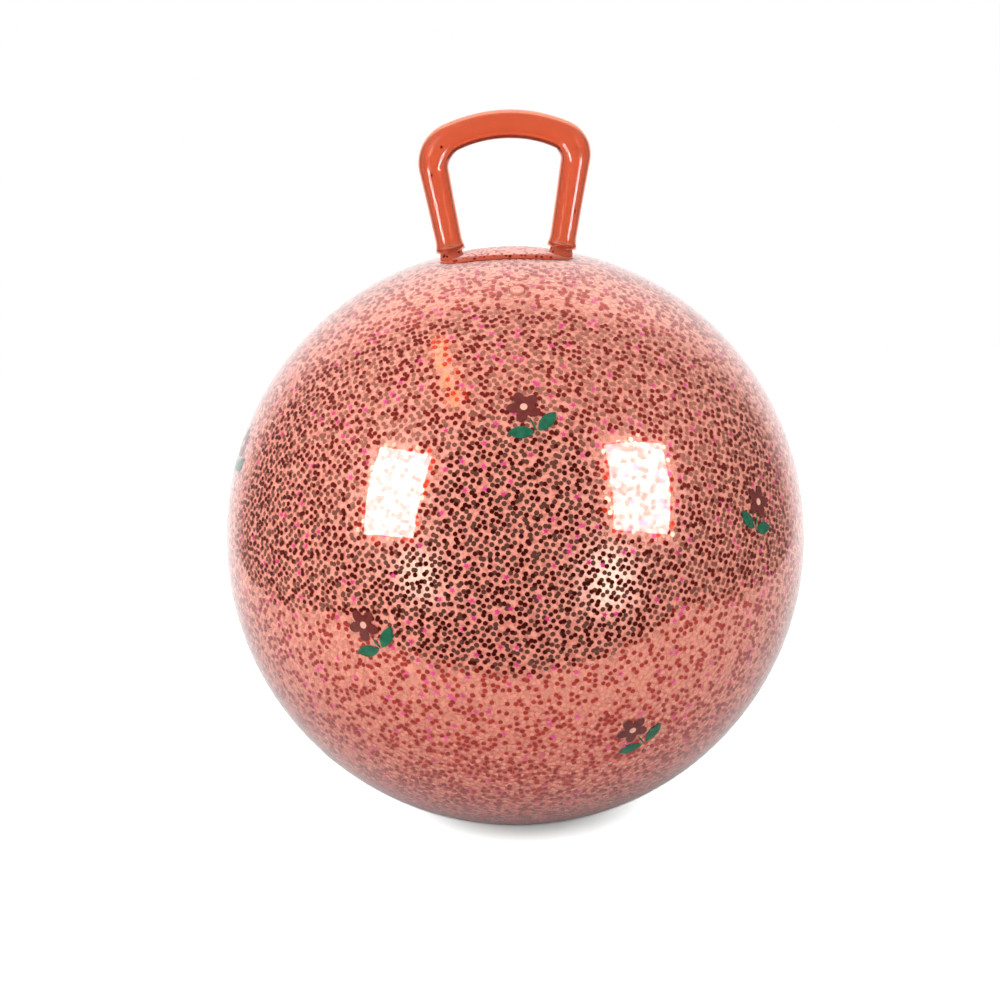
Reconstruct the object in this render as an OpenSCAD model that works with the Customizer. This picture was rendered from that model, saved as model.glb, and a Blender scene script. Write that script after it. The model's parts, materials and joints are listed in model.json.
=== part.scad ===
// Hopper ball: an inflated ball with a carrying handle on top, a plugged air valve and glitter in its wall.
// The ball stands on its flat patch at z = 0, its handle runs along X, and its valve is on the -Y side.

/* [Ball] */
// Diameter of the inflated ball
ball_d = 450; // [350:1:600]
// Thickness of the skin
skin_t = 1; // [0.6:0.1:2.5]
// Diameter of the patch that rests flat on the floor
rest_d = 60; // [30:1:100]

/* [Handle] */
// Outer width of the handle across its bends
handle_w = 129; // [120:1:150]
// Height of the handle from its pivot line to the top of the grip
handle_h = 104.5; // [95:0.5:140]
// Diameter of the grip and the bends
grip_d = 21.4; // [19:0.1:24]
// Diameter of a leg at its lower end
leg_d = 19.6; // [17:0.1:22]
// Thickness of the handle's wall
handle_t = 2.6; // [1.6:0.1:4]
// Radius of the arched grip, to its middle line
grip_arc_r = 100; // [85:1:200]
// Radius of a bend, to its middle line
bend_r = 20; // [14:0.5:24]
// Outward lean of a leg in degrees
leg_lean = 10.4; // [5:0.1:14]
// Height of the flared lip at the lower end of a leg
lip_h = 6.5; // [4:0.1:12]
// Wall of the flared lip at its lower edge
lip_t = 2.2; // [1.5:0.1:4]

/* [Handle base] */
// Thickness of the base that is welded to the skin
base_t = 2.4; // [1.5:0.1:6]
// Width of the base across its middle
base_w = 35; // [26:0.5:60]
// Rim of the base around the foot of each neck
base_rim = 0.8; // [0.4:0.1:4]
// Height of a neck from the base to the pivot line
neck_h = 4.9; // [4.5:0.1:15]
// Height of the cone at the foot of a neck
neck_foot_h = 2; // [1:0.1:3]
// How far that cone stands out from the neck
neck_foot_rim = 0.8; // [0.3:0.1:3]

/* [Valve] */
// Angle from the ball's pole to the valve in degrees
valve_angle = 19; // [15:0.5:60]
// Turn of the valve to the right of the handle's mid-plane in degrees
valve_turn = 5.5; // [0:0.5:20]
// Diameter of the air hole
bore_d = 4.6; // [3:0.1:8]
// Depth of the boss inside the ball
boss_h = 13; // [8:0.5:25]
// Thickness of the flange that is welded inside the skin
flange_t = 2; // [1.2:0.1:4]
// How far the flange reaches past the ring that fills the hole in the skin
flange_rim = 6; // [3:0.5:15]
// Length of the plug's stem
stem_l = 15; // [9:0.5:24]
// Thickness of the plug's head
head_t = 1.4; // [0.8:0.1:3]

/* [Glitter] */
// Number of places for flakes along the spiral
flake_n = 360; // [60:12:600]
// Width of a round flake across its corners
flake_d = 4.4; // [2:0.1:8]
// Width of a star flake across its points
star_d = 5.6; // [3:0.1:9]
// Thickness of a flake
flake_t = 0.15; // [0.1:0.01:0.5]

/* [Hidden] */
$fn = 96;
// How far every cut runs past the face that it opens
overrun = 1;

// Ball
ball_r = ball_d / 2;
rest_r = rest_d / 2;
skin_inner_r = ball_r - skin_t;
ball_z = sqrt(ball_r ^ 2 - rest_r ^ 2);

// Gap between each round knob and the socket that turns on it
pivot_gap = 0.3;
// How much wider than the leg's bore a knob is, on each side
knob_over = 2;
// How much narrower than its knob a neck is, on each side
neck_step = 1;
// How far each tube of the handle stops short of the round seam's middle
seam_gap = 0.2;
// How much wider than the tubes a round seam is
seam_over = 0.1;

// Handle, with its outline worked out from the top down to the pivot line
grip_r = grip_d / 2;
leg_r = leg_d / 2;
knob_r = leg_r - handle_t + knob_over;
socket_r = knob_r + pivot_gap;
lip_r = socket_r + lip_t;
neck_r = knob_r - neck_step;
neck_foot_r = neck_r + neck_foot_rim;
bend_x = handle_w / 2 - bend_r - grip_r;
arc_to_bend = grip_arc_r - bend_r;
grip_half_angle = asin(bend_x / arc_to_bend);
grip_end_angle = 90 - grip_half_angle;
arc_rise = handle_h - grip_r - grip_arc_r;
bend_rise = arc_rise + arc_to_bend * cos(grip_half_angle);
leg_rise = bend_rise - bend_r * sin(leg_lean);
leg_l = leg_rise / cos(leg_lean);
foot_x = bend_x + bend_r * cos(leg_lean) - leg_rise * tan(leg_lean);

// Base, an oval of two wide arcs between round ends, and pivot line, which runs along X through both knobs
base_r = ball_r + base_t;
base_end_r = neck_foot_r + base_rim;
base_end_x = foot_x - neck_h * sin(leg_lean);
base_half_w = base_w / 2;
// Half width of the arcs where they meet the round ends, as a share of the ends' radius
arc_end_share = 0.8;
arc_end_y = arc_end_share * base_end_r;
base_arc_y = (base_end_x ^ 2 + arc_end_y ^ 2 - base_half_w ^ 2) / (2 * (base_half_w - arc_end_y));
base_arc_r = base_half_w + base_arc_y;
pivot_z = ball_z + sqrt(base_r ^ 2 - base_end_x ^ 2) + neck_h * cos(leg_lean);

// Gap between the plug's stem and the air hole
stem_gap = 0.05;
// Gap around the plug's head, and around the ring in the skin
seat_gap = 0.1;
// How far the plug's head reaches past the air hole
head_over = 1.2;
// Wall of the ring around the plug's head
ring_t = 1.6;
// How far the ring stands proud of the skin
ring_proud = 0.3;
// Wall of the boss at its inner end
boss_tip_t = 2.4;
// How much wider the boss is than the ring where it leaves the flange
boss_root_over = 2.2;
// Grooves around the plug's stem
groove_w = 1.2;
groove_depth = 0.4;
groove_step = 3;
groove_count = 3;
// Length of the plug's tapered tip, and how much it narrows on each side
tip_l = 2;
tip_taper = 0.9;
// Hollow in the plug's head
dimple_depth = 0.6;
dimple_rim = 1;

bore_r = bore_d / 2;
stem_r = bore_r - stem_gap;
head_r = bore_r + head_over;
ring_r = head_r + seat_gap + ring_t;
flange_r = ring_r + flange_rim;

// Glitter
// Turn from one flake to the next, which spreads them evenly over the sphere
golden_angle = 180 * (3 - sqrt(5));
// Gap between a flake and the skin
flake_gap = 0.4;
// Order in which the kinds of flake follow each other: copper, pale, star
flake_order = ["copper", "pale", "copper", "copper", "pale", "copper",
               "star", "copper", "pale", "copper", "pale", "copper"];
star_points = 5;
// Radius of a star's inner corners as a share of the radius of its points
star_waist_share = 0.45;
flake_top_r = skin_inner_r - flake_gap;
flat_polar = 180 - asin((rest_r + star_d) / skin_inner_r);
valve_room = asin((flange_r + star_d) / skin_inner_r);
valve_direction = direction(valve_angle, valve_turn - 90);

function flake_polar(i) = acos(1 - (2 * i + 1) / flake_n);
function flake_turn(i) = i * golden_angle;
function direction(polar, turn) = [sin(polar) * cos(turn), sin(polar) * sin(turn), cos(polar)];
function from_valve(i) = acos(direction(flake_polar(i), flake_turn(i)) * valve_direction);
function flake_fits(i) = flake_polar(i) < flat_polar && from_valve(i) > valve_room;
function flake_kind(i) = flake_order[i % len(flake_order)];

// A ball of radius r round the ball's middle, cut flat at the height floor_z
module flat_ball(r, floor_z) {
    intersection() {
        translate([0, 0, ball_z]) sphere(r);
        translate([-ball_d, -ball_d, floor_z]) cube([2 * ball_d, 2 * ball_d, 2 * ball_d]);
    }
}

// Places its children on the valve's axis, with z = 0 at the outer face of the skin
module at_valve() {
    translate([0, 0, ball_z]) rotate([valve_angle, 0, valve_turn]) translate([0, 0, ball_r]) children();
}

// Places its children at the foot of a leg, with z along the leg; side is -1 or 1
module at_leg(side) {
    translate([side * foot_x, 0, pivot_z]) rotate([0, side * leg_lean, 0]) children();
}

// Inflated skin, flat where it rests, with a hole for the valve
module ball_skin() {
    color("salmon", 0.6) difference() {
        flat_ball(ball_r, 0);
        flat_ball(skin_inner_r, skin_t);
        at_valve() translate([0, 0, -skin_t - overrun]) {
            cylinder(r = ring_r + seat_gap, h = skin_t + 2 * overrun);
        }
    }
}

// Outline of the base: round ends about both necks, and two wide arcs between them
module base_outline() {
    for (side = [-1, 1]) {
        translate([side * base_end_x, 0]) circle(base_end_r);
    }
    intersection() {
        translate([0, -base_arc_y]) circle(base_arc_r);
        translate([0, base_arc_y]) circle(base_arc_r);
        translate([-base_end_x, -base_half_w]) square([2 * base_end_x, base_w]);
    }
}

// Thick base that follows the ball and carries both necks
module handle_base() {
    color("coral") difference() {
        intersection() {
            translate([0, 0, ball_z]) sphere(base_r);
            translate([0, 0, ball_z]) linear_extrude(2 * base_r) base_outline();
        }
        translate([0, 0, ball_z]) sphere(ball_r);
    }
}

// Short neck on the base, with a round knob inside the end of the leg
module neck(side) {
    color("tomato") difference() {
        at_leg(side) {
            sphere(knob_r);
            translate([0, 0, -neck_h - base_t]) cylinder(r = neck_r, h = neck_h + base_t);
            translate([0, 0, -neck_h]) cylinder(r1 = neck_foot_r, r2 = neck_r, h = neck_foot_h);
            translate([0, 0, -neck_h - base_t]) cylinder(r = neck_foot_r, h = base_t);
        }
        translate([0, 0, ball_z]) sphere(base_r);
    }
}

// Places its children in the handle's plane, with x across, y up and the origin on the pivot line
module in_handle_plane() {
    translate([0, 0, pivot_z]) rotate([90, 0, 0]) children();
}

// Part of a ring of round tube, swept between two angles that are measured from x
module tube_arc(arc_r, tube_r, from_angle, to_angle) {
    trim_angle = seam_gap / arc_r * 180 / PI;
    rotate([0, 0, from_angle + trim_angle]) rotate_extrude(angle = to_angle - from_angle - 2 * trim_angle) {
        translate([arc_r, 0]) circle(tube_r);
    }
}

// Tubes of both legs, both bends and the arched grip, joined by round seams;
// inset is how far inside the outer face they run
module handle_tube(inset) {
    tube_r = grip_r - inset;
    for (side = [-1, 1]) {
        at_leg(side) cylinder(r1 = leg_r - inset, r2 = tube_r, h = leg_l - seam_gap);
    }
    in_handle_plane() for (flip = [0, 1]) {
        mirror([flip, 0, 0]) translate([bend_x, bend_rise, 0]) {
            tube_arc(bend_r, tube_r, -leg_lean, grip_end_angle);
            for (turn = [-leg_lean, grip_end_angle]) {
                rotate([0, 0, turn]) translate([bend_r, 0, 0]) sphere(tube_r + seam_over);
            }
        }
    }
    in_handle_plane() translate([0, arc_rise, 0]) {
        tube_arc(grip_arc_r, tube_r, grip_end_angle, 180 - grip_end_angle);
    }
}

// Hollow handle, with a flared lip and a round socket at the end of each leg
module handle() {
    color("orangered") difference() {
        union() {
            handle_tube(0);
            for (side = [-1, 1]) {
                at_leg(side) cylinder(r1 = lip_r, r2 = leg_r, h = lip_h);
            }
        }
        handle_tube(handle_t);
        for (side = [-1, 1]) {
            at_leg(side) sphere(socket_r);
        }
    }
}

// Valve seat: a ring in the skin, a flange under it and a boss with the air hole
module valve_seat() {
    color("lightsalmon") at_valve() difference() {
        union() {
            translate([0, 0, -skin_t - flange_t]) cylinder(r = ring_r, h = skin_t + flange_t + ring_proud);
            intersection() {
                translate([0, 0, -skin_t - flange_t]) cylinder(r = flange_r, h = flange_t);
                translate([0, 0, -ball_r]) sphere(skin_inner_r);
            }
            translate([0, 0, -skin_t - flange_t - boss_h]) {
                cylinder(r1 = bore_r + boss_tip_t, r2 = ring_r + boss_root_over, h = boss_h);
            }
        }
        translate([0, 0, ring_proud - head_t]) cylinder(r = head_r + seat_gap, h = head_t + overrun);
        translate([0, 0, -skin_t - flange_t - boss_h - overrun]) {
            cylinder(r = bore_r, h = skin_t + flange_t + boss_h + 2 * overrun);
        }
    }
}

// Ring-shaped cut around the plug's stem
module stem_groove() {
    difference() {
        cylinder(r = stem_r + overrun, h = groove_w);
        translate([0, 0, -overrun]) cylinder(r = stem_r - groove_depth, h = groove_w + 2 * overrun);
    }
}

// Plug: a dimpled head that lies in the ring, and a grooved stem in the air hole
module valve_plug() {
    color("mistyrose") at_valve() translate([0, 0, ring_proud - head_t]) difference() {
        union() {
            cylinder(r = head_r, h = head_t);
            translate([0, 0, -stem_l + tip_l]) cylinder(r = stem_r, h = stem_l - tip_l);
            translate([0, 0, -stem_l]) cylinder(r1 = stem_r - tip_taper, r2 = stem_r, h = tip_l);
        }
        for (i = [1 : groove_count]) {
            translate([0, 0, -i * groove_step]) stem_groove();
        }
        translate([0, 0, head_t - dimple_depth]) {
            cylinder(r = head_r - dimple_rim, h = dimple_depth + overrun);
        }
    }
}

// Places its children flat against the inside of the skin at every place of one kind of flake
module at_flakes(kind) {
    for (i = [0 : flake_n - 1]) {
        if (flake_kind(i) == kind && flake_fits(i)) {
            translate([0, 0, ball_z]) rotate([0, flake_polar(i), flake_turn(i)]) {
                translate([0, 0, flake_top_r - flake_t]) children();
            }
        }
    }
}

module hexagon_flake() {
    cylinder(r = flake_d / 2, h = flake_t, $fn = 6);
}

module star_flake() {
    turn_step = 180 / star_points;
    linear_extrude(flake_t) polygon([
        for (i = [0 : 2 * star_points - 1])
            star_d / 2 * (i % 2 == 0 ? 1 : star_waist_share) * [cos(i * turn_step), sin(i * turn_step)]
    ]);
}

module glitter_copper() {
    color("brown") at_flakes("copper") hexagon_flake();
}

module glitter_pale() {
    color("rosybrown") at_flakes("pale") hexagon_flake();
}

module glitter_stars() {
    color("mediumvioletred") at_flakes("star") star_flake();
}

ball_skin();
handle_base();
neck(-1);  // neck_left
neck(1);  // neck_right
handle();
valve_seat();
valve_plug();
glitter_copper();
glitter_pale();
glitter_stars();
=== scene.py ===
"""Hopper ball: a clear pink ball full of glitter, with an orange carrying handle, in a white studio."""

import json
import math

import bpy
import numpy as np
from mathutils import Matrix, Vector


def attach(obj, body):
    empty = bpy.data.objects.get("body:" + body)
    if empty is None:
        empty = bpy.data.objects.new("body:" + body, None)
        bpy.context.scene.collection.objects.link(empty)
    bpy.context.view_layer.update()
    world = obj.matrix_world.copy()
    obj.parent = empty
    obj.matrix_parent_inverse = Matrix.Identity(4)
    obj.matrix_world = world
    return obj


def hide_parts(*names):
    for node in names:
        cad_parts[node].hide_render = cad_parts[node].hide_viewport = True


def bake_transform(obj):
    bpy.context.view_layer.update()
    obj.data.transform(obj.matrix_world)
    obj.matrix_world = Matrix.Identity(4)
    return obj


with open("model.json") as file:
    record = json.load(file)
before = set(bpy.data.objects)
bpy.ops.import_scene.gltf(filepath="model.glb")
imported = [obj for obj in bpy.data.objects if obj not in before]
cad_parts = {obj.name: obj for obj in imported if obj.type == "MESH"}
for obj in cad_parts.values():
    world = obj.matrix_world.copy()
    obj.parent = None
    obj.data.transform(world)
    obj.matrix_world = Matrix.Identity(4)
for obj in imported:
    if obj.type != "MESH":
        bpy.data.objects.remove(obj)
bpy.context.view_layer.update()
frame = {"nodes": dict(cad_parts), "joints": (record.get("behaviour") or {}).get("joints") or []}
scene = bpy.context.scene
joints = {joint["name"]: joint for joint in frame["joints"]}

# Driving sizes, in metres
MM = 0.001
BALL_R = 225 * MM
REST_R = 30 * MM
SKIN_T = 1 * MM
VALVE_HOLE_R = 5.3 * MM
HANDLE_H = 104.5 * MM
GRIP_R = 10.7 * MM
LEG_R = 9.8 * MM
HANDLE_T = 2.6 * MM
GRIP_ARC_R = 100 * MM
FOOT_X = 41.96 * MM
NECK_R = 8.2 * MM
NECK_H = 4.9 * MM
BASE_T = 2.4 * MM
BASE_W = 35 * MM
BASE_L = 101.8 * MM
PIVOT = Vector(joints["handle_flex"]["pos_m"])
VALVE_AXIS = Vector(joints["valve_plug_pull"]["axis"])
BALL_MIDDLE = Vector((0, 0, math.sqrt(BALL_R ** 2 - REST_R ** 2)))
VALVE_POINT = BALL_MIDDLE + BALL_R * VALVE_AXIS

# Random draws start from this number
SEED = 20

# The photograph's frame: its width, and where the middle and the rim of the ball lie in it, in pixels
IMAGE_W = 1000
BALL_PX = (515.3, 535.5)
BALL_R_PX = 290
CAMERA_DISTANCE = 2.2
CAMERA_ELEVATION = math.radians(18)
CAMERA_ROLL = math.radians(1.8)
SENSOR_W = 36.0


# Mesh helpers

def new_object(name, points, faces, material, smooth=True):
    """A mesh object from points and faces, with one material."""
    mesh = bpy.data.meshes.new(name)
    mesh.from_pydata([tuple(p) for p in points], [], [tuple(f) for f in faces])
    mesh.validate()
    if smooth:
        mesh.shade_smooth()
    mesh.materials.append(material)
    obj = bpy.data.objects.new(name, mesh)
    scene.collection.objects.link(obj)
    return obj


def grid_faces(rows, columns, offset=0, flip=False):
    """Quads of a tube of points that is stored ring by ring."""
    faces = []
    for i in range(rows - 1):
        for j in range(columns):
            k = (j + 1) % columns
            quad = [offset + i * columns + j, offset + i * columns + k,
                    offset + (i + 1) * columns + k, offset + (i + 1) * columns + j]
            faces.append(quad[::-1] if flip else quad)
    return faces


def unit(vectors):
    """The vectors of an array, each at length 1."""
    return vectors / np.linalg.norm(vectors, axis=-1, keepdims=True)


def axes_about(axis):
    """Two unit vectors square to an axis and to each other."""
    side = Vector(axis).orthogonal().normalized()
    return side, Vector(axis).normalized().cross(side)


def ring_turns(columns):
    """Evenly spaced angles round a circle."""
    return np.linspace(0, 2 * math.pi, columns, endpoint=False)


def shares(steps):
    """Even shares from 0 to 1, both counted in."""
    return [i / steps for i in range(steps + 1)]


# Material helpers

def new_material(name):
    """An empty node material; gives the material, its node tree and its output node."""
    material = bpy.data.materials.new(name)
    material.use_nodes = True
    tree = material.node_tree
    tree.nodes.clear()
    return material, tree, tree.nodes.new("ShaderNodeOutputMaterial")


def add_node(tree, kind, inputs=None, **settings):
    """A node with some of its sockets and settings filled in; a linked socket is given as an output."""
    made = tree.nodes.new(kind)
    for key, value in settings.items():
        setattr(made, key, value)
    for key, value in (inputs or {}).items():
        if isinstance(value, bpy.types.NodeSocket):
            tree.links.new(value, made.inputs[key])
        else:
            made.inputs[key].default_value = value
    return made


def rgb(red, green, blue):
    """An opaque colour."""
    return (red, green, blue, 1.0)


def place_of(tree):
    """The piece's own coordinates, in metres."""
    return add_node(tree, "ShaderNodeTexCoord").outputs["Object"]


def axes_of(tree, vector):
    """The three axes of a vector, as the outputs X, Y and Z."""
    return add_node(tree, "ShaderNodeSeparateXYZ", {"Vector": vector}).outputs


def noise_of(tree, grain, detail=3.0):
    """Noise with a grain of a given size in metres."""
    return add_node(tree, "ShaderNodeTexNoise", {
        "Vector": place_of(tree), "Scale": 1 / grain, "Detail": detail}).outputs["Fac"]


def ramp_of(tree, factor, *stops):
    """A colour ramp with stops given as (place, colour)."""
    ramp = add_node(tree, "ShaderNodeValToRGB", {"Fac": factor})
    elements = ramp.color_ramp.elements
    while len(elements) < len(stops):
        elements.new(0.5)
    for element, (place, colour) in zip(elements, stops):
        element.position = place
        element.color = colour
    return ramp.outputs["Color"]


def cloudy_of(tree, grain, dark, light, detail=3.0):
    """A colour that clouds from dark to light, with a grain of a given size in metres."""
    return ramp_of(tree, noise_of(tree, grain, detail), (0.3, dark), (0.7, light))


def step_of(tree, value, span, levels=(0.0, 1.0)):
    """A smooth step from one level to the other as a value goes through a span."""
    return add_node(tree, "ShaderNodeMapRange", {
        "Value": value, "From Min": span[0], "From Max": span[1], "To Min": levels[0], "To Max": levels[1]},
        interpolation_type="SMOOTHSTEP").outputs["Result"]


def mix_of(tree, factor, first, second, blend="MIX"):
    """Two colours mixed or blended; 6 and 7 are the node's colour inputs and 2 is its colour output."""
    return add_node(tree, "ShaderNodeMix", {"Factor": factor, 6: first, 7: second},
                    data_type="RGBA", blend_type=blend).outputs[2]


def math_of(tree, operation, *values):
    """An operation on numbers."""
    return add_node(tree, "ShaderNodeMath", dict(enumerate(values)), operation=operation).outputs["Value"]


def bump_of(tree, height, strength, distance):
    """Normals of a surface that rises with a height."""
    return add_node(tree, "ShaderNodeBump", {
        "Height": height, "Strength": strength, "Distance": distance}).outputs["Normal"]


def mix_shaders(tree, share, first, second):
    """Two shaders mixed, with a share of the second."""
    return add_node(tree, "ShaderNodeMixShader", {"Fac": share, 1: first.outputs[0], 2: second.outputs[0]})


def finish_material(material, tree, output, shader):
    """Links a shader to a material's output, and gives the material."""
    tree.links.new(shader.outputs[0], output.inputs["Surface"])
    return material


WHITE = rgb(1, 1, 1)

# Film: a clear glossy face with slow ripples
FILM_IOR = 1.32
FILM_ROUGHNESS = 0.02
RIPPLE_GRAIN = 110 * MM
RIPPLE_H = 2 * MM
RIPPLE_STRENGTH = 0.25


def film_material():
    """Clear glossy face of the skin: see-through, with reflections that grow towards the rim."""
    material, tree, output = new_material("clear_vinyl_face")
    ripple = bump_of(tree, noise_of(tree, RIPPLE_GRAIN, detail=2.0), RIPPLE_STRENGTH, RIPPLE_H)
    clear = add_node(tree, "ShaderNodeBsdfTransparent", {"Color": WHITE})
    gloss = add_node(tree, "ShaderNodeBsdfGlossy", {
        "Color": WHITE, "Roughness": FILM_ROUGHNESS, "Normal": ripple})
    rim = add_node(tree, "ShaderNodeFresnel", {"IOR": FILM_IOR, "Normal": ripple})
    face = add_node(tree, "ShaderNodeNewGeometry")
    outside = math_of(tree, "SUBTRACT", 1.0, face.outputs["Backfacing"])
    share = math_of(tree, "MULTIPLY", rim.outputs["Fac"], outside)
    return finish_material(material, tree, output, mix_shaders(tree, share, clear, gloss))


# Wall: a pink that pales with height, unevenly, as painted shade low on the ball and painted light high on
# it, with a fine mottle that is partly uneven tone and partly painted soft shadow of the flakes, and a stain
# round the valve
SHADED_LOW_PINK = rgb(0.69, 0.130, 0.088)
LIT_HIGH_PINK = rgb(0.90, 0.325, 0.240)
PINK_HEIGHTS = (0.10, 0.28)
CLOUD_GRAIN = 60 * MM
CLOUD_RISE = 60 * MM
MOTTLE_GRAIN = 3 * MM
DARK_MOTTLE = (0.36, rgb(0.72, 0.58, 0.58))
LIGHT_MOTTLE = (0.60, rgb(1.06, 1.09, 1.09))
FLANGE_RADII = (6 * MM, 17 * MM)
FLANGE_LEVELS = (0.4, 0.0)
FLANGE_PINK = rgb(0.62, 0.20, 0.12)


def wall_material():
    """Pink vinyl behind the flakes, darker and deeper low down as painted shade, mottled partly by uneven
    tone and partly by painted soft shadow of the flakes, with the valve's flange under it.
    """
    material, tree, output = new_material("pink_vinyl_wall")
    height = axes_of(tree, place_of(tree))["Z"]
    cloud = math_of(tree, "MULTIPLY_ADD", noise_of(tree, CLOUD_GRAIN, detail=2.0), CLOUD_RISE, height)
    # Painted shade and light: the pink is darker and deeper low on the ball and paler high on it
    tint = ramp_of(tree, step_of(tree, cloud, PINK_HEIGHTS), (0.0, SHADED_LOW_PINK), (1.0, LIT_HIGH_PINK))
    # The mottle is partly uneven tone and partly painted soft shadow of the flakes
    mottle = ramp_of(tree, noise_of(tree, MOTTLE_GRAIN, detail=4.0), DARK_MOTTLE, LIGHT_MOTTLE)
    mottled = mix_of(tree, 1.0, tint, mottle, "MULTIPLY")
    to_valve = add_node(tree, "ShaderNodeVectorMath", {
        0: place_of(tree), 1: VALVE_POINT}, operation="DISTANCE").outputs["Value"]
    flange = step_of(tree, to_valve, FLANGE_RADII, FLANGE_LEVELS)
    colour = mix_of(tree, flange, mottled, FLANGE_PINK)
    shader = add_node(tree, "ShaderNodeBsdfPrincipled", {
        "Base Color": colour, "Roughness": 0.24, "Specular IOR Level": 0.5})
    return finish_material(material, tree, output, shader)


def foil_material(name, dark, light, metallic, roughness):
    """Metallised film, a little different from flake to flake."""
    material, tree, output = new_material(name)
    flake = add_node(tree, "ShaderNodeNewGeometry")
    colour = ramp_of(tree, flake.outputs["Random Per Island"], (0.0, dark), (1.0, light))
    shader = add_node(tree, "ShaderNodeBsdfPrincipled", {
        "Base Color": colour, "Metallic": metallic, "Roughness": roughness})
    return finish_material(material, tree, output, shader)


# Vinyl of the handle, the base and the valve
VINYL_IOR = 1.4
TINT_GRAIN = 16 * MM
PORE_GRAIN = 1.4 * MM
PORE_H = 0.3 * MM
PORE_STRENGTH = 0.04
DEEP_ORANGE = rgb(0.93, 0.37, 0.06)


def vinyl_material(name, dark, light, roughness=0.1, transmission=0.0, density=0.0):
    """Glossy vinyl with a cloudy tint; where it has a density, light passes through it and reddens."""
    material, tree, output = new_material(name)
    pores = bump_of(tree, noise_of(tree, PORE_GRAIN, detail=2.0), PORE_STRENGTH, PORE_H)
    shader = add_node(tree, "ShaderNodeBsdfPrincipled", {
        "Base Color": cloudy_of(tree, TINT_GRAIN, dark, light), "Roughness": roughness,
        "IOR": VINYL_IOR, "Normal": pores})
    if density:
        inside = add_node(tree, "ShaderNodeVolumeAbsorption", {"Color": DEEP_ORANGE, "Density": density})
        tree.links.new(inside.outputs[0], output.inputs["Volume"])
        clear = add_node(tree, "ShaderNodeBsdfGlass", {
            "Color": WHITE, "Roughness": roughness, "IOR": VINYL_IOR, "Normal": pores})
        shader = mix_shaders(tree, transmission, shader, clear)
    return finish_material(material, tree, output, shader)


INK_GRAIN = 4 * MM


def ink_material(name, dark, light):
    """Printed ink with a slightly uneven tone."""
    material, tree, output = new_material(name)
    shader = add_node(tree, "ShaderNodeBsdfPrincipled", {
        "Base Color": cloudy_of(tree, INK_GRAIN, dark, light, detail=4.0), "Roughness": 0.5,
        "Specular IOR Level": 0.0})
    return finish_material(material, tree, output, shader)


FILM = film_material()
WALL = wall_material()
COPPER = foil_material(
    "copper_foil", rgb(0.34, 0.018, 0.007), rgb(0.48, 0.036, 0.018), metallic=1.0, roughness=0.13)
PALE = foil_material(
    "pale_foil", rgb(0.70, 0.25, 0.165), rgb(0.86, 0.33, 0.225), metallic=1.0, roughness=0.14)
MAGENTA = foil_material(
    "magenta_foil", rgb(0.70, 0.03, 0.20), rgb(0.86, 0.07, 0.31), metallic=0.15, roughness=0.2)
HANDLE_VINYL = vinyl_material(
    "orange_vinyl", rgb(0.78, 0.155, 0.055), rgb(0.87, 0.19, 0.075),
    roughness=0.17, transmission=0.86, density=600)
BASE_VINYL = vinyl_material("base_vinyl", rgb(0.36, 0.06, 0.03), rgb(0.46, 0.09, 0.045))
# Painted sheen: a paler copy of the base's vinyl for its upward faces, standing in for the bright room above
BASE_TOP_SHEEN = vinyl_material("base_top_painted_sheen", rgb(0.80, 0.27, 0.19), rgb(0.90, 0.36, 0.27), roughness=0.05)
VALVE_VINYL = vinyl_material("valve_vinyl", rgb(0.66, 0.25, 0.18), rgb(0.74, 0.29, 0.215))
PLUG_VINYL = vinyl_material("plug_vinyl", rgb(0.76, 0.34, 0.26), rgb(0.83, 0.39, 0.31))
PETAL_INK = ink_material("dark_red_ink", rgb(0.115, 0.02, 0.018), rgb(0.17, 0.032, 0.026))
HEART_INK = ink_material("pale_ink", rgb(0.72, 0.34, 0.26), rgb(0.82, 0.44, 0.35))
LEAF_INK = ink_material("green_ink", rgb(0.01, 0.085, 0.045), rgb(0.022, 0.15, 0.08))


# Camera

def make_camera():
    """Camera at the photograph's angle, shifted so that the ball lies where the photograph has it."""
    data = bpy.data.cameras.new("camera")
    data.sensor_width = SENSOR_W
    data.lens = SENSOR_W / IMAGE_W * BALL_R_PX * math.sqrt(CAMERA_DISTANCE ** 2 - BALL_R ** 2) / BALL_R
    data.shift_x = -(BALL_PX[0] - IMAGE_W / 2) / IMAGE_W
    data.shift_y = (BALL_PX[1] - IMAGE_W / 2) / IMAGE_W
    back = Vector((0, -math.cos(CAMERA_ELEVATION), math.sin(CAMERA_ELEVATION)))
    aim = (-back).to_track_quat("-Z", "Y").to_matrix().to_4x4() @ Matrix.Rotation(-CAMERA_ROLL, 4, "Z")
    camera = bpy.data.objects.new("camera", data)
    camera.matrix_world = Matrix.Translation(BALL_MIDDLE + CAMERA_DISTANCE * back) @ aim
    scene.collection.objects.link(camera)
    scene.camera = camera
    return camera


CAMERA = make_camera()

# Layers under the skin's outer face, as depths
FILM_T = 0.05 * MM
HEART_DEPTH = 0.06 * MM
PRINT_DEPTH = 0.08 * MM
STAR_DEPTHS = (0.14 * MM, 0.40 * MM)
COPPER_DEPTHS = (0.16 * MM, 0.45 * MM)
PALE_DEPTHS = (0.48 * MM, 0.72 * MM)
WALL_DEPTH = 0.85 * MM


# Ball

def ball_points(directions, depths):
    """Points at given depths under the skin's outer face: on the sphere, or on the flat patch below."""
    points = np.array(BALL_MIDDLE) + (BALL_R - depths) * directions
    points[..., 2:] = np.maximum(points[..., 2:], depths)
    return points


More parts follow.
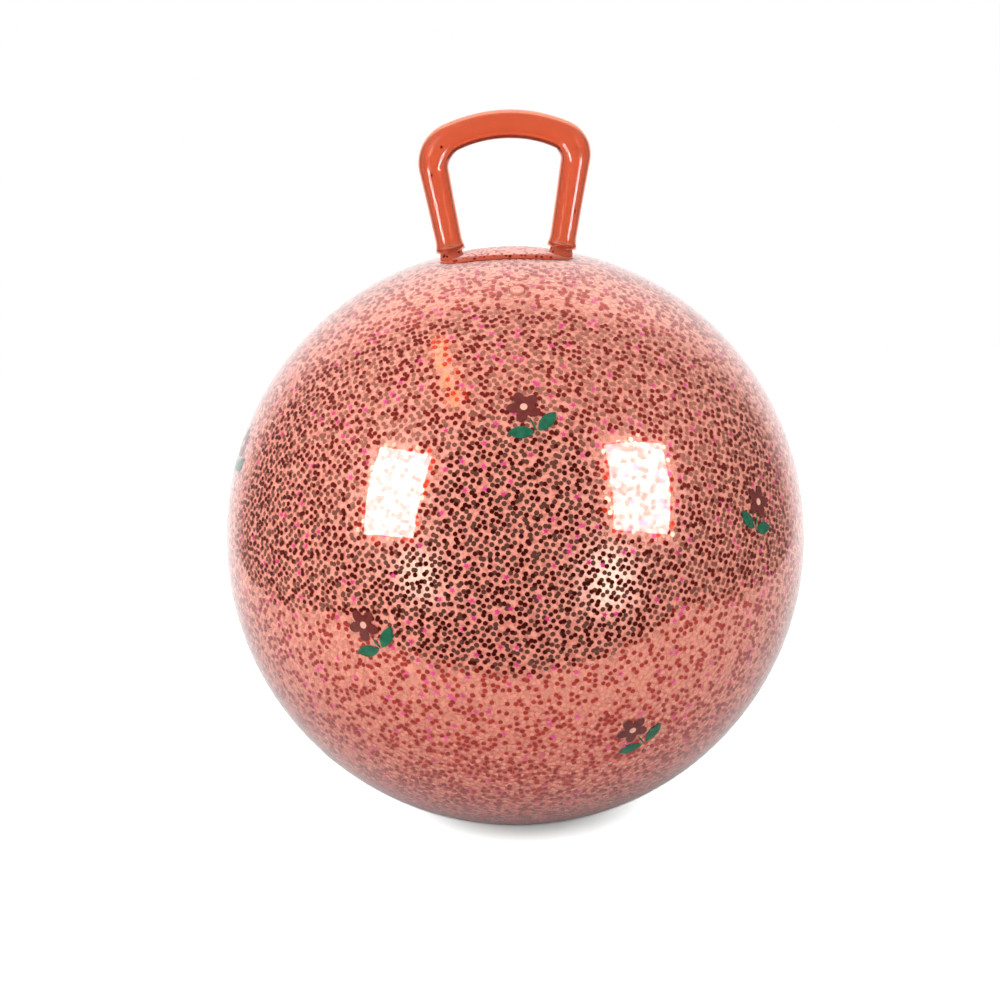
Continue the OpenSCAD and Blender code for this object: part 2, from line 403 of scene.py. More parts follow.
def ball_shell(name, outer_depth, inner_depth, material, rings, columns):
    """A closed shell between two depths under the skin's face, open at the valve."""
    side, other = axes_about(VALVE_AXIS)
    polar = np.linspace(math.asin(VALVE_HOLE_R / BALL_R), math.pi, rings, endpoint=False)[:, None, None]
    turn = ring_turns(columns)[None, :, None]
    across = np.cos(turn) * np.array(side) + np.sin(turn) * np.array(other)
    directions = (np.cos(polar) * np.array(VALVE_AXIS) + np.sin(polar) * across).reshape(-1, 3)
    pole = -np.array([VALVE_AXIS])
    points = np.concatenate([ball_points(directions, outer_depth), ball_points(directions, inner_depth),
                             ball_points(pole, outer_depth), ball_points(pole, inner_depth)])
    size = rings * columns
    faces = grid_faces(rings, columns, 0, flip=True) + grid_faces(rings, columns, size)
    for j in range(columns):
        k = (j + 1) % columns
        last_j, last_k = size - columns + j, size - columns + k
        faces.append([j, k, size + k, size + j])
        faces.append([last_j, 2 * size, last_k])
        faces.append([size + last_k, 2 * size + 1, size + last_j])
    shell = new_object(name, points, faces, material)
    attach(shell, "ball")
    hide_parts("ball_skin")
    return shell


FACE_PIECE = ball_shell("skin_face", 0, FILM_T, FILM, rings=150, columns=300)
WALL_PIECE = ball_shell("skin_wall", WALL_DEPTH, SKIN_T, WALL, rings=100, columns=200)

# Glitter: its sizes, how far flakes stray in place, tilt and size, and how many there are of each kind
FLAKE_D = 3.85 * MM
FLAKE_T = 0.06 * MM
FLAKE_CORNERS = 6
STAR_D = 4.9 * MM
STAR_POINTS = 5
STAR_WAIST = 0.45
FLAKE_JITTER = 0.2
FLAKE_TILT = 0.010
FLAKE_SIZE_SPREAD = 0.06
FLAKES_PER_M2 = 51000
PALE_SHARE = 0.52
STAR_SHARE = 0.038


def spread_directions(count):
    """Directions from the ball's middle along an even spiral, from top to bottom."""
    height = 1 - (2 * np.arange(count) + 1) / count
    turn = np.arange(count) * math.pi * (3 - math.sqrt(5))
    reach = np.sqrt(1 - height ** 2)
    return np.c_[reach * np.cos(turn), reach * np.sin(turn), height]


def polygon(corners):
    """Corners of a regular polygon of radius 1."""
    turn = ring_turns(corners)
    return np.c_[np.cos(turn), np.sin(turn)]


def star(points, waist):
    """Corners of a star of radius 1 whose inner corners lie at radius waist."""
    reach = np.where(np.arange(2 * points) % 2 == 0, 1.0, waist)
    return reach[:, None] * polygon(2 * points)


HEXAGON = polygon(FLAKE_CORNERS)


def flakes(name, places, normals, outline, size, material, chance):
    """Flakes of one outline, turned and tilted at random, flat on top with a shallow point below."""
    count, corners = len(places), len(outline)
    normals = unit(normals + chance.normal(scale=FLAKE_TILT, size=(count, 3)))
    across = unit(np.cross(normals, chance.normal(size=(count, 3))))
    along = np.cross(normals, across)
    reach = size / 2 * chance.uniform(1 - FLAKE_SIZE_SPREAD, 1 + FLAKE_SIZE_SPREAD, (count, 1, 1))
    rims = places[:, None] + reach * (outline[:, :1] * across[:, None] + outline[:, 1:] * along[:, None])
    tips = (places - FLAKE_T * normals)[:, None]
    points = np.concatenate([rims, tips], axis=1).reshape(-1, 3)
    faces = []
    for start in range(0, len(points), corners + 1):
        rim = list(range(start, start + corners))
        faces.append(rim)
        faces += [(rim[(i + 1) % corners], rim[i], start + corners) for i in range(corners)]
    return new_object(name, points, faces, material, smooth=False)


def scatter_glitter():
    """Three kinds of flake under the skin's face, clear of the valve."""
    chance = np.random.default_rng(SEED)
    count = int(FLAKES_PER_M2 * 4 * math.pi * BALL_R ** 2)
    jitter = FLAKE_JITTER * math.sqrt(4 * math.pi / count)
    directions = unit(spread_directions(count) + chance.normal(scale=jitter, size=(count, 3)))
    clear_of_valve = math.cos((VALVE_HOLE_R + FLAKE_D / 2) / BALL_R)
    directions = directions[directions @ np.array(VALVE_AXIS) < clear_of_valve]
    draw = chance.random(len(directions))
    is_star = draw < STAR_SHARE
    is_pale = ~is_star & (draw < STAR_SHARE + PALE_SHARE)
    is_copper = ~is_star & ~is_pale
    is_left = directions[:, 0] < 0
    kinds = [
        ("copper_left", is_copper & is_left, COPPER_DEPTHS, HEXAGON, FLAKE_D, COPPER, "copper"),
        ("copper_right", is_copper & ~is_left, COPPER_DEPTHS, HEXAGON, FLAKE_D, COPPER, "copper"),
        ("pale", is_pale, PALE_DEPTHS, HEXAGON, FLAKE_D, PALE, "pale"),
        ("stars", is_star, STAR_DEPTHS, star(STAR_POINTS, STAR_WAIST), STAR_D, MAGENTA, "stars"),
    ]
    pieces = []
    for name, chosen, span, outline, size, material, kind in kinds:
        depths = chance.uniform(span[0], span[1], (chosen.sum(), 1))
        places = ball_points(directions[chosen], depths)
        normals = np.where(places[:, 2:] > depths, directions[chosen], (0, 0, -1))
        piece = flakes("glitter_" + name, places, normals, outline, size, material, chance)
        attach(piece, "ball")
        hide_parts("glitter_" + kind)
        pieces.append(piece)
    return pieces


GLITTER = scatter_glitter()

# Printed flowers: five petals, a heart, a short stem and two leaves, in FLOWER_SCALE about the heart
PETAL_COUNT = 5
PETAL = (4.5, 3.15)
PETAL_REACH = 5.5
HEART = (2.1, 2.1)
STEM = (4.4, 0.55)
STEM_PLACE = (0, -12.6)
LEAF = (7.6, 3.7)
LEAF_POINT = 1.7
LEAF_PLACE = (8.2, -13.6)
LEAF_TURN = math.radians(24)
OVAL_POINTS = 28
FLOWER_SCALE = 1.25 * MM

# Flowers on a whole ball, the heights they keep to as shares of its radius, their turn round it, their tilt
FLOWER_COUNT = 15
FLOWER_BAND = (-0.9, 0.75)
FLOWER_TURN = math.radians(-2)
FLOWER_TILT = 0.7


def oval(half_sizes, point_share=1.0):
    """Outline of an oval; a point_share over 1 draws its ends out to points."""
    turn = ring_turns(OVAL_POINTS)
    return np.c_[half_sizes[0] * np.cos(turn),
                 half_sizes[1] * np.sin(turn) * np.abs(np.sin(turn)) ** (point_share - 1)]


def turned(outline, angle, place):
    """An outline turned by an angle and moved to a place."""
    c, s = math.cos(angle), math.sin(angle)
    return outline @ np.array([[c, s], [-s, c]]) + np.array(place)


def flower_blots():
    """Outlines of one printed flower's petals, heart and leaves, each with the middle it is filled from."""
    petals = []
    for i in range(PETAL_COUNT):
        angle = math.pi / 2 + 2 * math.pi * i / PETAL_COUNT
        place = (PETAL_REACH * math.cos(angle), PETAL_REACH * math.sin(angle))
        petals.append((turned(oval(PETAL), angle, place), place))
    leaves = [(turned(oval(STEM), math.pi / 2, STEM_PLACE), STEM_PLACE)]
    for side in (-1, 1):
        place = (side * LEAF_PLACE[0], LEAF_PLACE[1])
        leaves.append((turned(oval(LEAF, LEAF_POINT), side * LEAF_TURN, place), place))
    return petals, [(oval(HEART), (0, 0))], leaves


def ink_patches(name, blots, spots, depth, material):
    """Thin patches of ink that follow the ball: each blot printed at each spot."""
    points, faces = [], []
    for middle, right, up in spots:
        for outline, centre in blots:
            halfway = (outline + np.array(centre)) / 2
            flat = np.concatenate([[centre], halfway, outline, [centre]]) * FLOWER_SCALE
            spread = unit(middle + (flat[:, :1] * right + flat[:, 1:] * up) / BALL_R)
            depths = np.full((len(flat), 1), depth)
            depths[-1] += FLAKE_T
            start, count = len(points), len(outline)
            points += list(ball_points(spread, depths))
            inner = [start + 1 + i for i in range(count)]
            outer = [start + 1 + count + i for i in range(count)]
            for i in range(count):
                k = (i + 1) % count
                faces.append((start, inner[i], inner[k]))
                faces.append((inner[i], outer[i], outer[k], inner[k]))
                faces.append((outer[k], outer[i], start + 2 * count + 1))
    piece = new_object(name, points, faces, material, smooth=False)
    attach(piece, "ball")


def print_flowers():
    """Flowers spread round the ball, clear of the handle, the valve and the patch that it rests on."""
    chance = np.random.default_rng(SEED + 1)
    spots = []
    for middle in spread_directions(FLOWER_COUNT):
        if not FLOWER_BAND[0] < middle[2] < FLOWER_BAND[1]:
            continue
        middle = np.array(Matrix.Rotation(FLOWER_TURN, 3, "Z") @ Vector(middle))
        right = unit(np.cross((0, 0, 1), middle))
        up = np.cross(middle, right)
        tilt = chance.uniform(-FLOWER_TILT, FLOWER_TILT)
        spots.append((middle, math.cos(tilt) * right + math.sin(tilt) * up,
                      math.cos(tilt) * up - math.sin(tilt) * right))
    petals, hearts, leaves = flower_blots()
    ink_patches("print_petals", petals, spots, PRINT_DEPTH, PETAL_INK)
    ink_patches("print_hearts", hearts, spots, HEART_DEPTH, HEART_INK)
    ink_patches("print_leaves", leaves, spots, PRINT_DEPTH, LEAF_INK)


print_flowers()

# Soft handle: its bends differ a little and are stouter than the grip, and its left side hangs lower
LEFT_BEND_R = 23 * MM
LEFT_HALF_W = 63.2 * MM
RIGHT_BEND_R = 18.5 * MM
RIGHT_HALF_W = 64.7 * MM
SKEW = math.tan(math.radians(1.8))
LIP_R = 11.2 * MM
LIP_H = 8 * MM
LIP_POWER = 1.5
TUBE_COLUMNS = 48
LEG_STEPS = 80
BEND_STEPS = 24
GRIP_STEPS = 24

# Swelling of the tube: most in the middle of a bend, a share of that at the bend's ends, none further off
BEND_SWELL = 1.1 * MM
END_SWELL_SHARE = 0.25
LEG_SWELL_SHARE = 0.6
GRIP_SWELL_SHARE = 1 / 3

# Direction square to the handle's plane, away from the valve
REAR = Vector((0, 1, 0))


def half_path(half_w, bend_r):
    """Middle line of the handle's right half, from its foot to the top of the grip.

    Gives for each place the point above the pivot line, the angle of the outward direction, how far the
    radius has grown from the leg's to the grip's, and how far it has swollen to the bend's.
    """
    bend_x = half_w - GRIP_R - bend_r
    half_angle = math.asin(bend_x / (GRIP_ARC_R - bend_r))
    arc_z = HANDLE_H - GRIP_R - GRIP_ARC_R
    bend_z = arc_z + (GRIP_ARC_R - bend_r) * math.cos(half_angle)
    span = math.hypot(bend_x - FOOT_X, bend_z)
    lean = math.atan2(bend_x - FOOT_X, bend_z) + math.asin(bend_r / span)
    leg_l = math.sqrt(span ** 2 - bend_r ** 2)
    path = []
    for share in shares(LEG_STEPS)[:-1]:
        point = Vector((FOOT_X + share * leg_l * math.sin(lean), 0, share * leg_l * math.cos(lean)))
        swollen = END_SWELL_SHARE * max(0, (share - LEG_SWELL_SHARE) / (1 - LEG_SWELL_SHARE))
        path.append((point, -lean, share, swollen))
    for share in shares(BEND_STEPS)[:-1]:
        angle = -lean + share * (math.pi / 2 - half_angle + lean)
        point = Vector((bend_x + bend_r * math.cos(angle), 0, bend_z + bend_r * math.sin(angle)))
        swollen = END_SWELL_SHARE + (1 - END_SWELL_SHARE) * math.sin(math.pi * share)
        path.append((point, angle, 1.0, swollen))
    for share in shares(GRIP_STEPS):
        angle = math.pi / 2 - half_angle * (1 - share)
        point = Vector((GRIP_ARC_R * math.cos(angle), 0, arc_z + GRIP_ARC_R * math.sin(angle)))
        swollen = END_SWELL_SHARE * max(0, 1 - share / GRIP_SWELL_SHARE)
        path.append((point, angle, 1.0, swollen))
    return path


def handle_rings():
    """Places along the whole handle from left foot to right foot: point, outward direction and radius."""
    rings = []
    for side, half_w, bend_r in ((-1, LEFT_HALF_W, LEFT_BEND_R), (1, RIGHT_HALF_W, RIGHT_BEND_R)):
        half = []
        for point, angle, grown, swollen in half_path(half_w, bend_r):
            skewed_z = point.z + SKEW * side * point.x * point.z / HANDLE_H
            place = PIVOT + Vector((side * point.x, 0, skewed_z))
            out = Vector((side * math.cos(angle), 0, math.sin(angle)))
            lip = (LIP_R - LEG_R) * max(0, 1 - point.z / LIP_H) ** LIP_POWER
            half.append((place, out, LEG_R + (GRIP_R - LEG_R) * grown + BEND_SWELL * swollen + lip))
        rings += half if side == -1 else half[-2::-1]
    return rings


HANDLE_RINGS = handle_rings()


def make_handle():
    """Hollow tube along the handle's middle line, closed at both feet."""
    points = []
    for inset in (0, HANDLE_T):
        for place, out, radius in HANDLE_RINGS:
            for turn in ring_turns(TUBE_COLUMNS):
                points.append(place + (radius - inset) * (math.cos(turn) * out + math.sin(turn) * REAR))
    count = len(HANDLE_RINGS)
    size = count * TUBE_COLUMNS
    faces = grid_faces(count, TUBE_COLUMNS, 0, flip=True) + grid_faces(count, TUBE_COLUMNS, size)
    for j in range(TUBE_COLUMNS):
        k = (j + 1) % TUBE_COLUMNS
        last_j, last_k = size - TUBE_COLUMNS + j, size - TUBE_COLUMNS + k
        faces.append([j, k, size + k, size + j])
        faces.append([last_k, last_j, size + last_j, size + last_k])
    handle = new_object("handle_tube", points, faces, HANDLE_VINYL)
    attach(handle, "handle")
    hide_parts("handle")
    handle.visible_glossy = False
    return handle


HANDLE_PIECE = make_handle()

# Stray flakes on the handle: place as a share of the way from the left foot, and turn in degrees
STRAY_FLAKES = (
    (0.107, -20), (0.31, -80), (0.38, -90), (0.443, -150), (0.548, -150), (0.86, -60), (0.66, 80))
STRAY_D = 2.2 * MM

# How far the flakes on the handle, the necks and the base stand off the face that they lie on
FLAKE_LIFT = 0.03 * MM


def make_stray_flakes():
    """A few copper flakes that were moulded into the handle."""
    chance = np.random.default_rng(SEED + 2)
    places, normals = [], []
    for share, degrees in STRAY_FLAKES:
        place, out, radius = HANDLE_RINGS[round(share * (len(HANDLE_RINGS) - 1))]
        turn = math.radians(degrees)
        normal = math.cos(turn) * out + math.sin(turn) * REAR
        places.append(place + (radius + FLAKE_LIFT) * normal)
        normals.append(normal)
    piece = flakes("stray_flakes", np.array(places), np.array(normals), HEXAGON, STRAY_D, COPPER, chance)
    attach(piece, "handle")


make_stray_flakes()

# Necks: thin skins over their solids, sunk in the base, with dots between two rows of their outline
NECK_SKIN = 0.2 * MM
NECK_FILLET = 0.9 * MM
NECK_FILLET_POWER = 3
NECK_SUNK = 1.5 * MM
NECK_TOP = 2 * MM
NECK_BORE_R = 0.2 * MM
NECK_STEPS = 12
DOT_ROWS = (3, 9)
DOTS_PER_NECK = 9
DOT_D = 1.8 * MM


def neck_profile():
    """Closed outline of a neck as (radius, height) pairs; it goes up on its outer side."""
    foot_z = -NECK_H - NECK_SUNK
    outer_r = NECK_R + NECK_SKIN
    profile = [(NECK_BORE_R, foot_z), (outer_r + NECK_FILLET, foot_z)]
    for share in shares(NECK_STEPS):
        fillet = NECK_FILLET * (1 - share) ** NECK_FILLET_POWER
        profile.append((outer_r + fillet, -NECK_H + (NECK_H + NECK_TOP) * share))
    profile.append((NECK_BORE_R, NECK_TOP))
    return profile


def neck_shape(name, side):
    """A neck turned about the foot of a leg."""
    end_rings = HANDLE_RINGS[:2] if side == -1 else HANDLE_RINGS[:-3:-1]
    foot, above = (place for place, out, radius in end_rings)
    up = (above - foot).normalized()
    along = up.cross(REAR)
    profile = neck_profile()
    points = []
    for radius, height in profile:
        for turn in ring_turns(TUBE_COLUMNS):
            points.append(foot + height * up + radius * (math.cos(turn) * REAR + math.sin(turn) * along))
    faces = grid_faces(len(profile), TUBE_COLUMNS)
    last = (len(profile) - 1) * TUBE_COLUMNS
    for j in range(TUBE_COLUMNS):
        k = (j + 1) % TUBE_COLUMNS
        faces.append([last + j, last + k, k, j])
    return new_object(name, points, faces, BASE_VINYL)


def neck_dots(name, neck, chance):
    """Copper flakes strewn over the lower part of a neck."""
    first, last = DOT_ROWS
    chosen = chance.choice(range(first * TUBE_COLUMNS, last * TUBE_COLUMNS), DOTS_PER_NECK, replace=False)
    places = np.array([neck.data.vertices[i].co for i in chosen])
    normals = np.array([neck.data.vertices[i].normal for i in chosen])
    return flakes(name, places + FLAKE_LIFT * normals, normals, HEXAGON, DOT_D, COPPER, chance)


def make_necks():
    """Soft necks between base and handle, with their dots."""
    chance = np.random.default_rng(SEED + 4)
    for side, name in ((-1, "neck_left"), (1, "neck_right")):
        neck = neck_shape("soft_" + name, side)
        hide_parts(name)
        dots = neck_dots("dots_" + name, neck, chance)
        for piece in (neck, dots):
            piece.visible_glossy = False
            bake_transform(piece)


make_necks()

# Base: an oval a little squarer than an ellipse, with a rounded edge, a top painted paler as painted sheen
# of the bright room above, and flakes
BASE_SUNK = 0.4 * MM
BASE_CORNER_POWER = 0.8
BASE_EDGE_POWER = 8
BASE_RING_POWER = 0.6
BASE_TOP_SHARE = 0.72
BASE_FLAKES = 210
BASE_FLAKE_D = 2.4 * MM
BASE_FLAKE_SHARES = (0.02, 0.98)
SHARE_NUDGE = 0.01
TURN_NUDGE = 0.02


def squarer(value):
    """A sine or cosine that makes a circle a little squarer."""
    return math.copysign(abs(value) ** BASE_CORNER_POWER, value)


def base_point(share, turn, rise):
    """A point of the base: share is 0 in its middle and 1 at its edge, and rise is above the ball."""
    x = BASE_L / 2 * share * squarer(math.cos(turn))
    y = BASE_W / 2 * share * squarer(math.sin(turn))
    return BALL_MIDDLE + Vector((x, y, math.sqrt((BALL_R + rise) ** 2 - x * x - y * y)))


def base_rise(share):
    """Height of the base above the ball, with a rounded edge."""
    return BASE_T * math.sqrt(1 - share ** BASE_EDGE_POWER)


def paint_base_top_sheen(base):
    """Gives the base's upper face, inside its edge, the paler vinyl: a painted sheen of the bright room
    above.
    """
    base.data.materials.append(BASE_TOP_SHEEN)
    for face in base.data.polygons:
        reach = (face.center.x / (BASE_L / 2)) ** 2 + (face.center.y / (BASE_W / 2)) ** 2
        if face.normal.z > 0 and reach < BASE_TOP_SHARE:
            face.material_index = 1


def make_base(columns=120, rings=32):
    """Raised oval base between the necks that follows the ball, with rings that crowd towards its edge."""
    points = [base_point(0, 0, BASE_T)]
    for step in shares(rings - 1)[1:]:
        share = step ** BASE_RING_POWER
        points += [base_point(share, turn, base_rise(share)) for turn in ring_turns(columns)]
    points += [base_point(1, turn, -BASE_SUNK) for turn in ring_turns(columns)]
    points.append(base_point(0, 0, -BASE_SUNK))
    faces = grid_faces(rings, columns, 1, flip=True)
    last = 1 + (rings - 1) * columns
    for j in range(columns):
        k = (j + 1) % columns
        faces.append((0, 1 + j, 1 + k))
        faces.append((last + k, last + j, last + columns))
    base = new_object("base_oval", points, faces, BASE_VINYL)
    paint_base_top_sheen(base)
    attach(base, "ball")
    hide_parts("handle_base")


def make_base_flakes():
    """Copper flakes that lie in the base's upper face and round its edge."""
    chance = np.random.default_rng(SEED + 3)
    places, normals = [], []
    for _ in range(BASE_FLAKES):
        share = math.sqrt(chance.uniform(*BASE_FLAKE_SHARES))
        turn = chance.uniform(0, 2 * math.pi)
        place = base_point(share, turn, base_rise(share))
        inward = base_point(share - SHARE_NUDGE, turn, base_rise(share - SHARE_NUDGE))
        beside = base_point(share, turn + TURN_NUDGE, base_rise(share))
        normal = (place - inward).cross(beside - place).normalized()
        places.append(place + FLAKE_LIFT * normal)
        normals.append(normal)
    piece = flakes("base_flakes", np.array(places), np.array(normals), HEXAGON, BASE_FLAKE_D, COPPER, chance)
    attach(piece, "ball")


make_base()
make_base_flakes()

# Valve: its solids stay, with better materials
for node, material in (("valve_seat", VALVE_VINYL), ("valve_plug", PLUG_VINYL)):
    frame["nodes"][node].data.materials.clear()
    frame["nodes"][node].data.materials.append(material)

# Sheet that the ball stands on: its edges, its tones, how the camera sees it and how mirrors see it
SHEET_FRONT = -0.48
SHEET_BACK = 1.4
SHEET_HALF_W = 0.79
FIBRE_GRAIN = 8 * MM
DARK_FIBRE = rgb(0.58, 0.58, 0.58)
LIGHT_FIBRE = rgb(0.62, 0.62, 0.62)
SEEN_PAPER = rgb(1.93, 2.5, 2.54)
SHEET_LIFT_REACH = (0.035, 0.115)
SHEET_LIFT_LEVELS = (0.0, 0.3)
SHEET_GLOW_REACH = (0.04, 0.20)
SHEET_GLOW_DEPTHS = (0.0, 0.7)
SHEET_GLOW_LEVELS = (0.22, 0.7)


def sheet_material():
    """White paper that keeps its shadow, looks white to the camera and glows in mirrors."""
    material, tree, output = new_material("white_paper")
    path = add_node(tree, "ShaderNodeLightPath").outputs
    fibre = cloudy_of(tree, FIBRE_GRAIN, DARK_FIBRE, LIGHT_FIBRE)
    colour = mix_of(tree, path["Is Camera Ray"], fibre, SEEN_PAPER)
    place = place_of(tree)
    depth = axes_of(tree, place)["Y"]
    reach = add_node(tree, "ShaderNodeVectorMath", {0: place}, operation="LENGTH").outputs["Value"]
    glow_level = step_of(tree, depth, SHEET_GLOW_DEPTHS, SHEET_GLOW_LEVELS)
    far_glow = math_of(tree, "MULTIPLY", step_of(tree, reach, SHEET_GLOW_REACH), glow_level)
    mirrored = math_of(tree, "MULTIPLY", path["Is Glossy Ray"], far_glow)
    far_lift = step_of(tree, reach, SHEET_LIFT_REACH, SHEET_LIFT_LEVELS)
    seen = math_of(tree, "MULTIPLY", path["Is Camera Ray"], far_lift)
    lift = math_of(tree, "ADD", seen, mirrored)
    paper = add_node(tree, "ShaderNodeBsdfDiffuse", {"Color": colour})
    glow = add_node(tree, "ShaderNodeEmission", {"Color": WHITE, "Strength": lift})
    both = add_node(tree, "ShaderNodeAddShader", {0: paper.outputs[0], 1: glow.outputs[0]})
    return finish_material(material, tree, output, both)


sheet = new_object("sheet", [
    (-SHEET_HALF_W, SHEET_FRONT, 0), (SHEET_HALF_W, SHEET_FRONT, 0),
    (SHEET_HALF_W, SHEET_BACK, 0), (-SHEET_HALF_W, SHEET_BACK, 0)], [(0, 1, 2, 3)], sheet_material())

# What mirrors see round the ball, by direction, from the front at -1 to the back at 1
ROOM_DEPTHS = (-0.9, 0.0)
ROOM_LEVELS = (0.14, 0.30)
CEILING_HEIGHTS = (0.15, 0.6)
CEILING_DEPTHS = (-0.7, -0.2)
CEILING_LEVELS = (0.0, 0.28)
BACKDROP_AHEAD = (0.62, 0.86)
BACKDROP_DEPTHS = (0.36, 0.62)
BACKDROP_LEVELS = (0.0, 1.0)
SOFT_LEVEL = 0.95
SEEN_LEVEL = 1.0


def mirrored_room(tree):
    """Brightness of a dim room with a paler ceiling and a white backdrop, by direction.

    Depth is 1 straight behind the ball and height is 1 overhead; ahead is the depth of the level direction.
    """
    toward = add_node(tree, "ShaderNodeTexCoord").outputs["Generated"]
    level = add_node(tree, "ShaderNodeVectorMath", {0: toward, 1: (1, 1, 0)}, operation="MULTIPLY")
    heading = add_node(tree, "ShaderNodeVectorMath", {0: level.outputs["Vector"]}, operation="NORMALIZE")
    ahead = axes_of(tree, heading.outputs["Vector"])["Y"]
    axes = axes_of(tree, toward)
    depth, height = axes["Y"], axes["Z"]
    room = step_of(tree, depth, ROOM_DEPTHS, ROOM_LEVELS)
    ceiling = math_of(tree, "MULTIPLY", step_of(tree, height, CEILING_HEIGHTS),
                      step_of(tree, depth, CEILING_DEPTHS, CEILING_LEVELS))
    backdrop = math_of(tree, "MULTIPLY", step_of(tree, ahead, BACKDROP_AHEAD),
                       step_of(tree, depth, BACKDROP_DEPTHS, BACKDROP_LEVELS))
    return math_of(tree, "ADD", math_of(tree, "ADD", room, ceiling), backdrop)


def make_world():
    """White surroundings; mirrors see a white backdrop behind the ball and a dim room elsewhere."""
    world = bpy.data.worlds.new("studio")
    scene.world = world
    world.use_nodes = True
    tree = world.node_tree
    tree.nodes.clear()
    output = add_node(tree, "ShaderNodeOutputWorld")
    path = add_node(tree, "ShaderNodeLightPath").outputs
    mirror = add_node(tree, "ShaderNodeBackground", {"Color": WHITE, "Strength": mirrored_room(tree)})
    soft = add_node(tree, "ShaderNodeBackground", {"Color": WHITE, "Strength": SOFT_LEVEL})
    white = add_node(tree, "ShaderNodeBackground", {"Color": WHITE, "Strength": SEEN_LEVEL})
    light = mix_shaders(tree, path["Is Glossy Ray"], soft, mirror)
    seen = math_of(tree, "MAXIMUM", path["Is Camera Ray"], path["Is Transmission Ray"])
    every = mix_shaders(tree, seen, light, white)
    tree.links.new(every.outputs[0], output.inputs["Surface"])


make_world()

# Lamps on the ball: the pixels where the photograph shows them mirrored, clockwise from the top left
SOFTBOX_LEFT_PX = ((385, 446), (428, 457), (417, 540), (361, 532))
SOFTBOX_RIGHT_PX = ((605, 441), (660, 447), (671, 535), (611, 529))
GLOW_LEFT_PX = ((404, 552), (438, 556), (434, 598), (400, 592))
GLOW_RIGHT_PX = ((588, 552), (626, 550), (630, 606), (592, 608))
STREAK_PX = ((431, 338), (441, 336), (462, 404), (452, 407))
LAMP_DISTANCE = 2.0

# Softboxes and glows shine in the film or the wall, haze in wall and flakes, and fills light everything
SOFTBOX_LEFT_RADIANCE = 30
SOFTBOX_RIGHT_RADIANCE = 24
HAZE_RADIANCE = 8
FILL_LEFT_RADIANCE = 4.6
FILL_RIGHT_RADIANCE = 1.5
FILL_STRETCH = 1.4
GLOW_LEFT_RADIANCE = 20
GLOW_RIGHT_RADIANCE = 24
GLOW_COLOUR = (1.0, 0.88, 0.72)
STREAK_RADIANCE = 3
STREAK_COLOUR = (1.0, 0.55, 0.25)

# Lamps for the streaks down the handle's legs: the place on a leg that each faces, and its way from there
STRIP_RADIANCE = 26
STRIP_SIZE = (0.3, 0.35)
STRIP_AIM_X = 48 * MM
STRIP_AIM_Z = 30 * MM
STRIP_WAY = (0.60, -0.683, -0.419)


def mirrored_point(pixel):
    """The place at the lamps' distance from the ball that is mirrored at a pixel of the photograph."""
    right, up, back = (CAMERA.matrix_world.to_3x3().col[i] for i in range(3))
    spread = math.tan(math.asin(BALL_R / CAMERA_DISTANCE)) / BALL_R_PX
    x = (pixel[0] - BALL_PX[0]) * spread
    y = (BALL_PX[1] - pixel[1]) * spread
    ray = (x * right + y * up - back).normalized()
    nearest = -CAMERA_DISTANCE * ray.dot(back)
    passing = CAMERA_DISTANCE ** 2 - nearest ** 2
    point = CAMERA.matrix_world.translation + (nearest - math.sqrt(BALL_R ** 2 - passing)) * ray
    normal = (point - BALL_MIDDLE).normalized()
    return point + LAMP_DISTANCE * ray.reflect(normal)


def lamp(name, middle, aim, across, size, radiance, colour=(1, 1, 1)):
    """A rectangular lamp of even radiance at a place, facing a point, with one side along a direction."""
    data = bpy.data.lights.new(name, "AREA")
    data.shape = "RECTANGLE"
    data.size, data.size_y = size
    data.energy = radiance * math.pi * size[0] * size[1]
    data.color = colour
    away = (middle - aim).normalized()
    side = (across - across.dot(away) * away).normalized()
    facing = Matrix((side, away.cross(side), away)).transposed().to_4x4()
    made = bpy.data.objects.new(name, data)
    made.matrix_world = Matrix.Translation(middle) @ facing
    made.visible_camera = False
    scene.collection.objects.link(made)
    return made


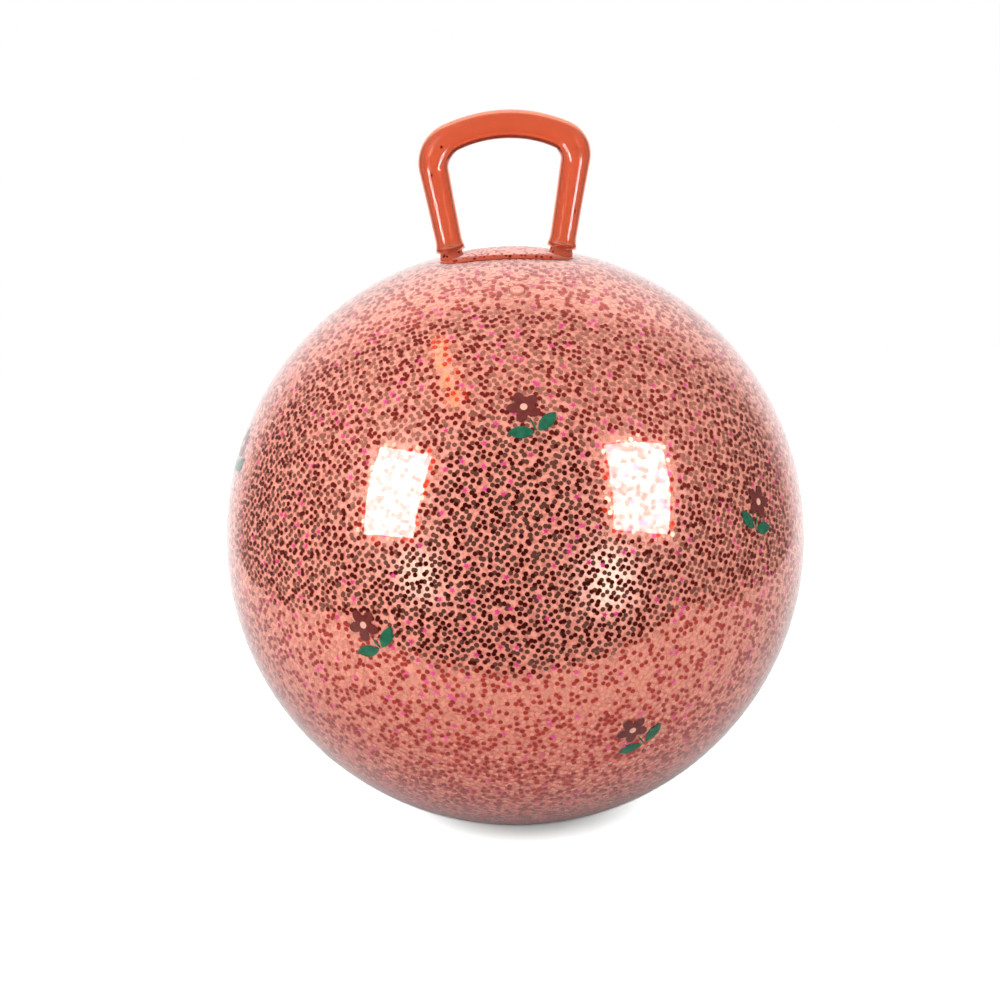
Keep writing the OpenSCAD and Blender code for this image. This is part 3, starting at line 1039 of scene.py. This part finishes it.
def softbox(name, corners, radiance, stretch=1.0, colour=(1, 1, 1)):
    """A lamp whose four corners are mirrored at four pixels of the photograph."""
    a, b, c, d = (mirrored_point(pixel) for pixel in corners)
    across, upward = (b + c - a - d) / 2, (a + b - c - d) / 2
    size = (stretch * across.length, stretch * upward.length)
    middle = (a + b + c + d) / 4
    return lamp(name, middle, BALL_MIDDLE, upward.cross(middle - BALL_MIDDLE), size, radiance, colour)


def light_only(made, pieces):
    """Lets a lamp light some pieces alone, and only where they shine."""
    group = bpy.data.collections.new(made.name + "_lights")
    for piece in pieces:
        group.objects.link(piece)
    made.light_linking.receiver_collection = group
    made.visible_diffuse = False


def make_lamps():
    """All lamps of the studio."""
    softboxes = (("left", SOFTBOX_LEFT_PX, SOFTBOX_LEFT_RADIANCE, FILL_LEFT_RADIANCE),
                 ("right", SOFTBOX_RIGHT_PX, SOFTBOX_RIGHT_RADIANCE, FILL_RIGHT_RADIANCE))
    for side, corners, radiance, fill in softboxes:
        light_only(softbox("softbox_" + side, corners, radiance), [FACE_PIECE])
        light_only(softbox("haze_" + side, corners, HAZE_RADIANCE), [WALL_PIECE] + GLITTER)
        softbox("fill_" + side, corners, fill, FILL_STRETCH).visible_glossy = False
    glows = (("left", GLOW_LEFT_PX, GLOW_LEFT_RADIANCE), ("right", GLOW_RIGHT_PX, GLOW_RIGHT_RADIANCE))
    for side, corners, radiance in glows:
        light_only(softbox("glow_" + side, corners, radiance, colour=GLOW_COLOUR), [WALL_PIECE])
    softbox("streak", STREAK_PX, STREAK_RADIANCE, colour=STREAK_COLOUR).visible_diffuse = False
    for side, name in ((-1, "left"), (1, "right")):
        leg = PIVOT + Vector((side * STRIP_AIM_X, 0, STRIP_AIM_Z))
        way = Vector((side * STRIP_WAY[0], STRIP_WAY[1], STRIP_WAY[2]))
        strip = lamp("strip_" + name, leg + way, leg, Vector((1, 0, 0)), STRIP_SIZE, STRIP_RADIANCE)
        light_only(strip, [HANDLE_PIECE])


make_lamps()
scene.view_settings.view_transform = "Standard"
